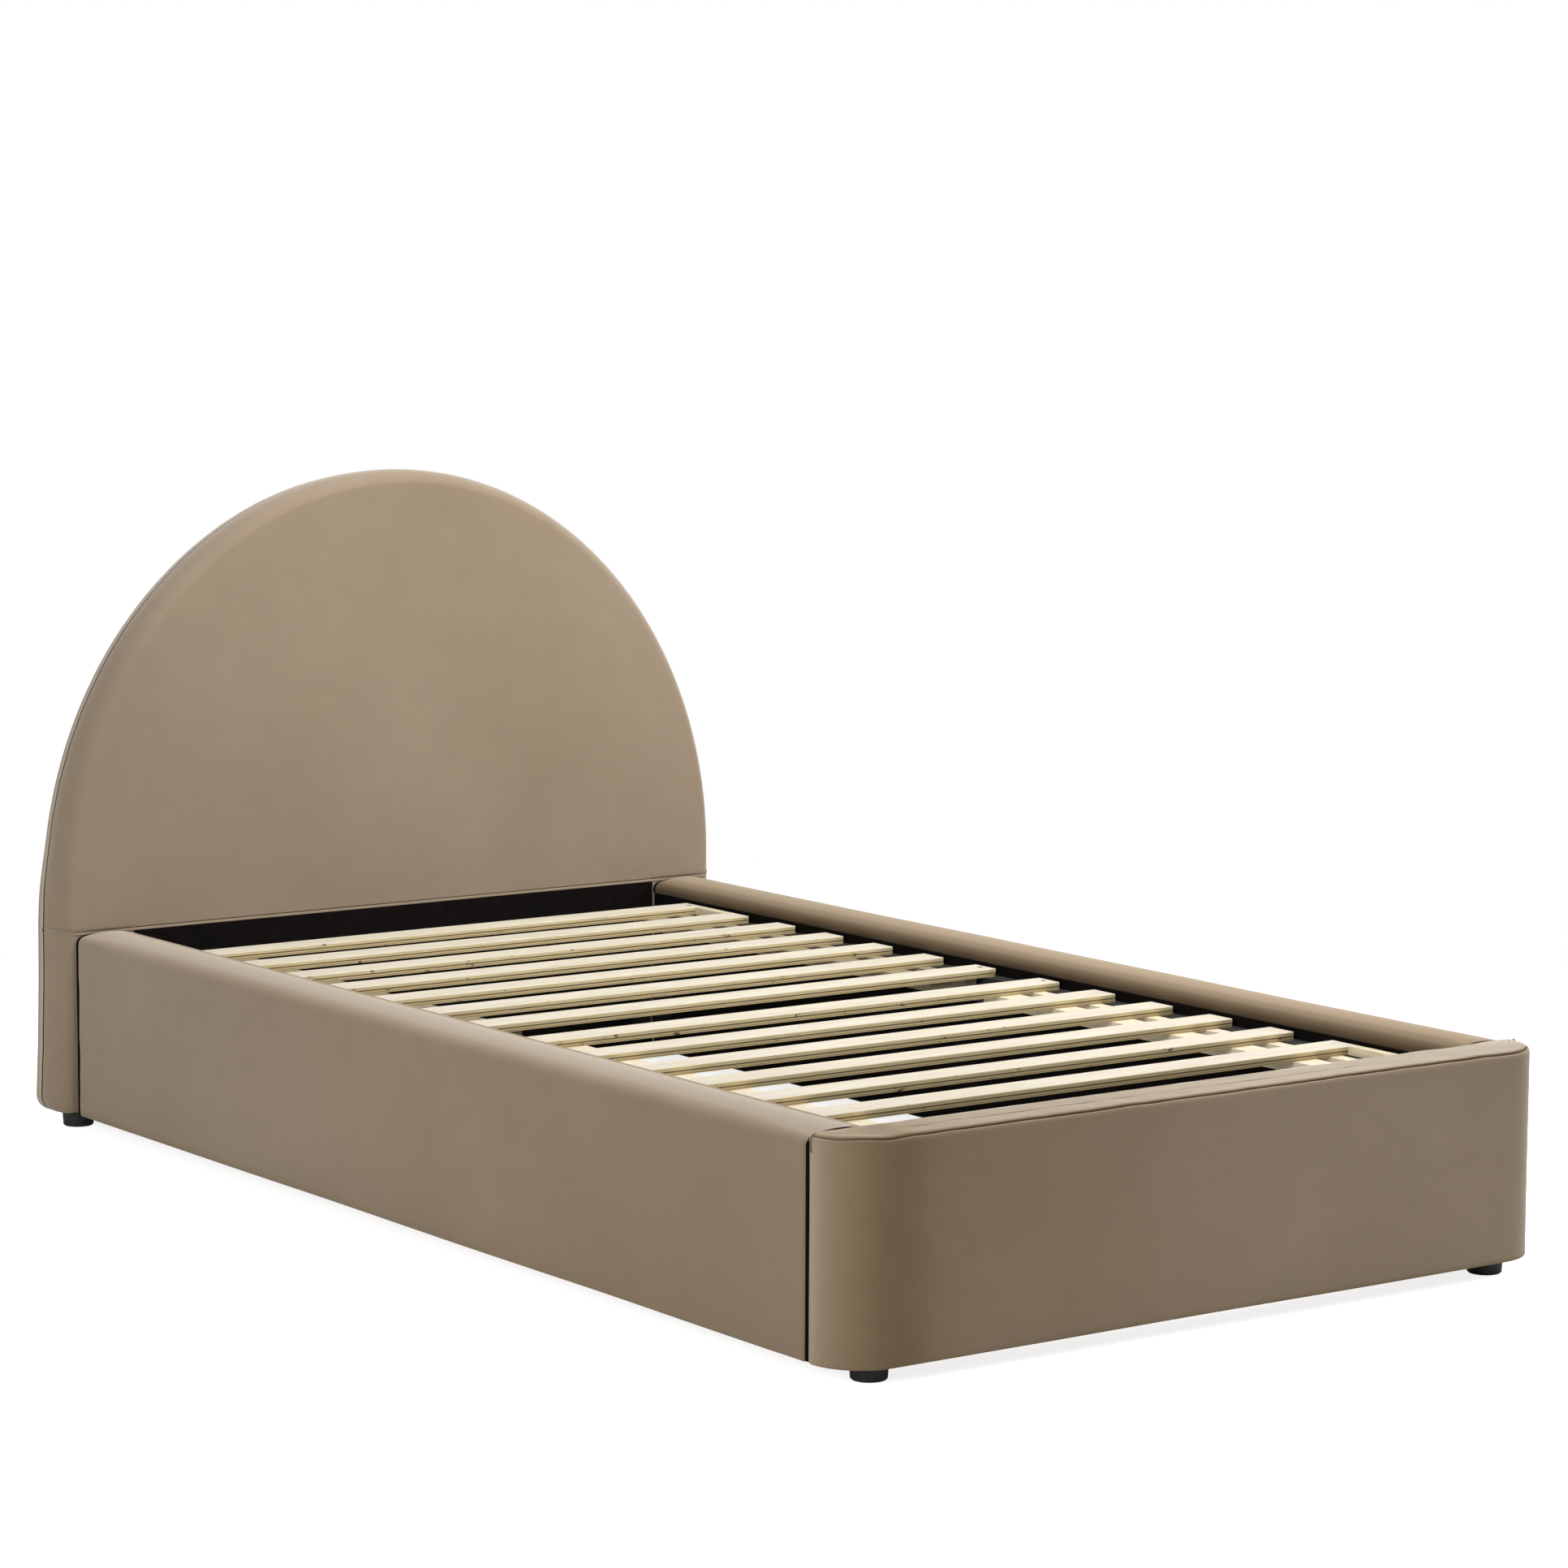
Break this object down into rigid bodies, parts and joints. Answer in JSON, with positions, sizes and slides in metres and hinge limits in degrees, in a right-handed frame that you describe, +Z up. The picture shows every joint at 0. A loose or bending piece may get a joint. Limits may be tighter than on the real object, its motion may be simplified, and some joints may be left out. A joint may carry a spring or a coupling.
{
  "type": "upholstered bed",
  "caption": "Low upholstered single bed frame with a tall arched headboard, padded side rails, a low footboard with rounded corners, and lift-out plywood slat panels.",
  "frame": {"origin": "middle of the bed's outline, on the floor under the feet", "axes": "+Y towards the headboard, +X to the right seen from the foot of the bed, +Z up"},
  "size_m": [1.236, 2.117, 1.013],
  "materials": {
    "velvet": "short-pile velvet, taupe",
    "lining": "black non-woven lining",
    "foam": "open-cell foam padding",
    "pine": "sawn softwood",
    "hardboard": "smooth hardboard",
    "black_timber": "black-stained timber",
    "plywood": "sanded plywood with bare edges",
    "batten_wood": "planed softwood",
    "foot_plastic": "matt black",
    "zinc_steel": "zinc-plated",
    "dark_steel": "dark phosphated"
  },
  "bodies": {
    "frame": {"foot_corner_brackets": "dark_steel", "foot_corner_screws": "dark_steel", "foot_left_foot": "foot_plastic", "foot_right_foot": "foot_plastic", "foot_screws": "zinc_steel", "footboard_corner_blocks": "pine", "footboard_cover": "velvet", "footboard_foam": "foam", "footboard_front_board": "pine", "footboard_inner_board": "pine", "footboard_lining": "lining", "footboard_middle_block": "pine", "footboard_top_band": "velvet", "head_corner_brackets": "dark_steel", "head_corner_screws": "dark_steel", "head_left_foot": "foot_plastic", "head_right_foot": "foot_plastic", "headboard_back_cover": "velvet", "headboard_cross_board": "pine", "headboard_face_board": "hardboard", "headboard_foam": "foam", "headboard_frame": "pine", "headboard_front_cover": "velvet", "headboard_lining": "lining", "headboard_lower_cover": "velvet", "ledger_screws": "zinc_steel", "left_ledger": "black_timber", "left_rail_blocks": "pine", "left_rail_cover": "velvet", "left_rail_foam": "foam", "left_rail_inner_board": "pine", "left_rail_lining": "lining", "left_rail_outer_board": "pine", "right_ledger": "black_timber", "right_rail_blocks": "pine", "right_rail_cover": "velvet", "right_rail_foam": "foam", "right_rail_inner_board": "pine", "right_rail_lining": "lining", "right_rail_outer_board": "pine"},
    "head_slat_panel": {"slat_01": "plywood", "slat_02": "plywood", "slat_03": "plywood", "slat_04": "plywood", "slat_05": "plywood", "slat_06": "plywood", "slat_07": "plywood", "head_panel_battens": "batten_wood", "head_panel_end_strips": "batten_wood", "head_panel_screws": "dark_steel"},
    "foot_slat_panel": {"slat_08": "plywood", "slat_09": "plywood", "slat_10": "plywood", "slat_11": "plywood", "slat_12": "plywood", "slat_13": "plywood", "slat_14": "plywood", "foot_panel_battens": "batten_wood", "foot_panel_end_strips": "batten_wood", "foot_panel_screws": "dark_steel"}
  },
  "joints": [
    {"name": "head_panel_lift", "type": "slide", "parent": "frame", "child": "head_slat_panel", "axis": [0, 0, 1], "range_m": [0, 0.12]},
    {"name": "foot_panel_lift", "type": "slide", "parent": "frame", "child": "foot_slat_panel", "axis": [0, 0, 1], "range_m": [0, 0.12]}
  ]
}
